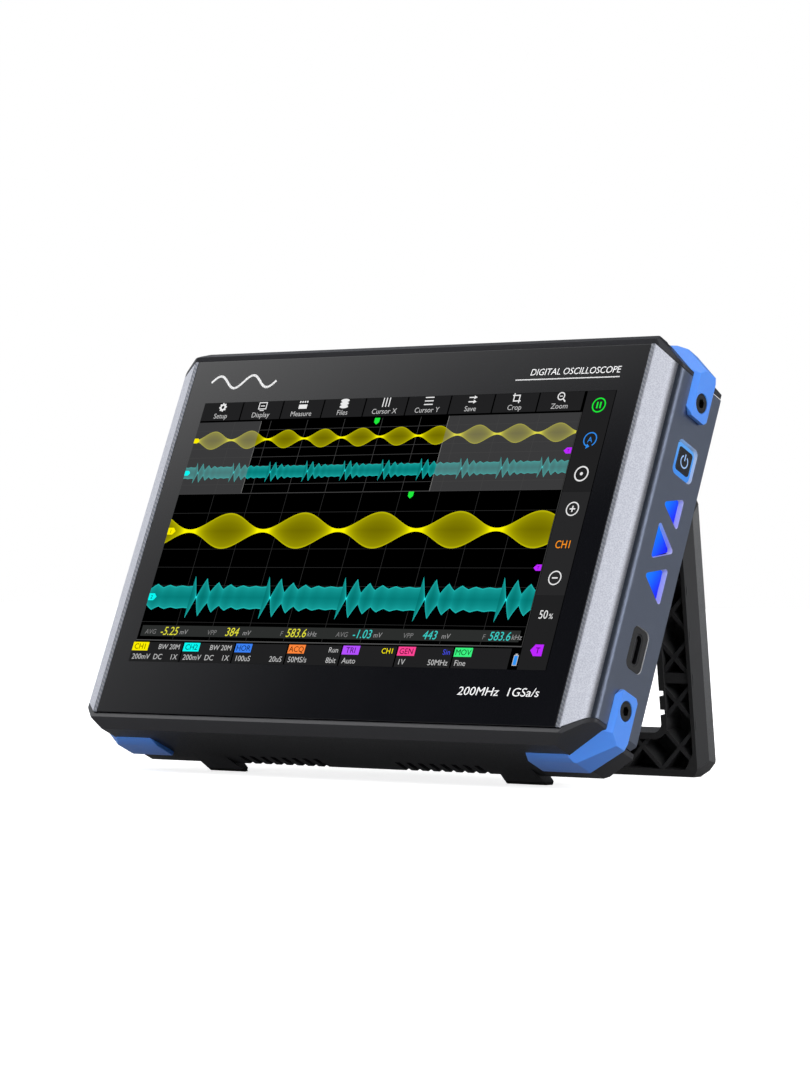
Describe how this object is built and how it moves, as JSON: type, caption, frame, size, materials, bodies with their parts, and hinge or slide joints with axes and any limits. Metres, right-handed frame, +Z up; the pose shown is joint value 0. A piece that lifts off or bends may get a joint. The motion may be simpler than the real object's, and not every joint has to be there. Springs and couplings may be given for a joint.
{
  "type": "tablet oscilloscope",
  "caption": "Tablet-style touch-screen oscilloscope with metal side rails and corner bumpers, leaning on a fold-out kickstand.",
  "frame": {"origin": "on the ground, under the middle of the box round the instrument as it stands on its open kickstand", "axes": "+X to the instrument's right as seen from the screen side, +Y from the screen towards the stand, +Z up"},
  "size_m": [0.19, 0.0944, 0.1282],
  "materials": {
    "front_glass": "gloss black printed behind clear glass",
    "display": "gloss",
    "flex_film": "satin",
    "inner_frame": "matt",
    "rail_metal": "satin anodised",
    "cap_plastic": "fine moulded texture",
    "foot_rubber": "matt",
    "cover_plastic": "fine moulded texture",
    "bumper_tpu": "satin",
    "black_steel": "black oxide",
    "key_plastic": "satin",
    "lit_plastic": "lit from behind",
    "switch_metal": "satin",
    "blue_light": "lit from behind",
    "led_resin": "gloss",
    "trim_plastic": "matt",
    "plug_steel": "satin",
    "contact_plastic": "matt",
    "stand_plastic": "fine moulded texture",
    "pin_steel": "satin",
    "jack_nickel": "bright nickel",
    "jack_insulator": "satin",
    "jack_gold": "gold plated",
    "board_green": "solder mask",
    "tin_plate": "bright",
    "chip_black": "matt",
    "heatsink_metal": "satin",
    "battery_wrap": "film",
    "fan_plastic": "satin",
    "screw_steel": "satin"
  },
  "bodies": {
    "case": {"cover_glass": "front_glass", "lcd_module": "display", "display_flex": "flex_film", "mid_frame": "inner_frame", "rail_left": "rail_metal", "rail_right": "rail_metal", "top_cap": "cap_plastic", "bottom_cap": "cap_plastic", "foot_pads": "foot_rubber", "back_cover": "cover_plastic", "bumper_top_left": "bumper_tpu", "bumper_top_right": "bumper_tpu", "bumper_bottom_left": "bumper_tpu", "bumper_bottom_right": "bumper_tpu", "bumper_screws": "black_steel", "power_light_ring": "lit_plastic", "power_switch": "switch_metal", "status_light_upper": "blue_light", "status_light_middle": "blue_light", "status_light_lower": "blue_light", "status_leds": "led_resin", "usb_trim": "trim_plastic", "usb_shell": "plug_steel", "usb_tongue": "contact_plastic", "hinge_pins": "pin_steel", "bnc_shells": "jack_nickel", "bnc_nuts": "jack_nickel", "bnc_insulators": "jack_insulator", "bnc_contacts": "jack_gold", "main_board": "board_green", "rf_shields": "tin_plate", "processor_chip": "chip_black", "heatsink": "heatsink_metal", "battery_pack": "battery_wrap", "fan_frame": "fan_plastic", "buzzer": "chip_black", "cover_screws": "black_steel", "board_screws": "screw_steel"},
    "kickstand": {"kickstand": "stand_plastic", "stand_pads": "foot_rubber"},
    "power_key": {"power_key": "key_plastic"},
    "fan_rotor": {"fan_rotor": "fan_plastic"}
  },
  "joints": [
    {"name": "kickstand_hinge", "type": "hinge", "parent": "case", "child": "kickstand", "pos_m": [0, 0.02929, 0.10971], "axis": [1, 0, 0], "range_deg": [-30.8, 0]},
    {"name": "power_key_press", "type": "slide", "parent": "case", "child": "power_key", "axis": [-1, 0, 0], "range_m": [0, 0.0007], "stiffness_N_per_m": 600, "springref_m": -0.001},
    {"name": "fan_spin", "type": "hinge", "parent": "case", "child": "fan_rotor", "pos_m": [0.036, -0.00512, 0.0452], "axis": [0, 0.9152, -0.4029], "continuous": true}
  ]
}
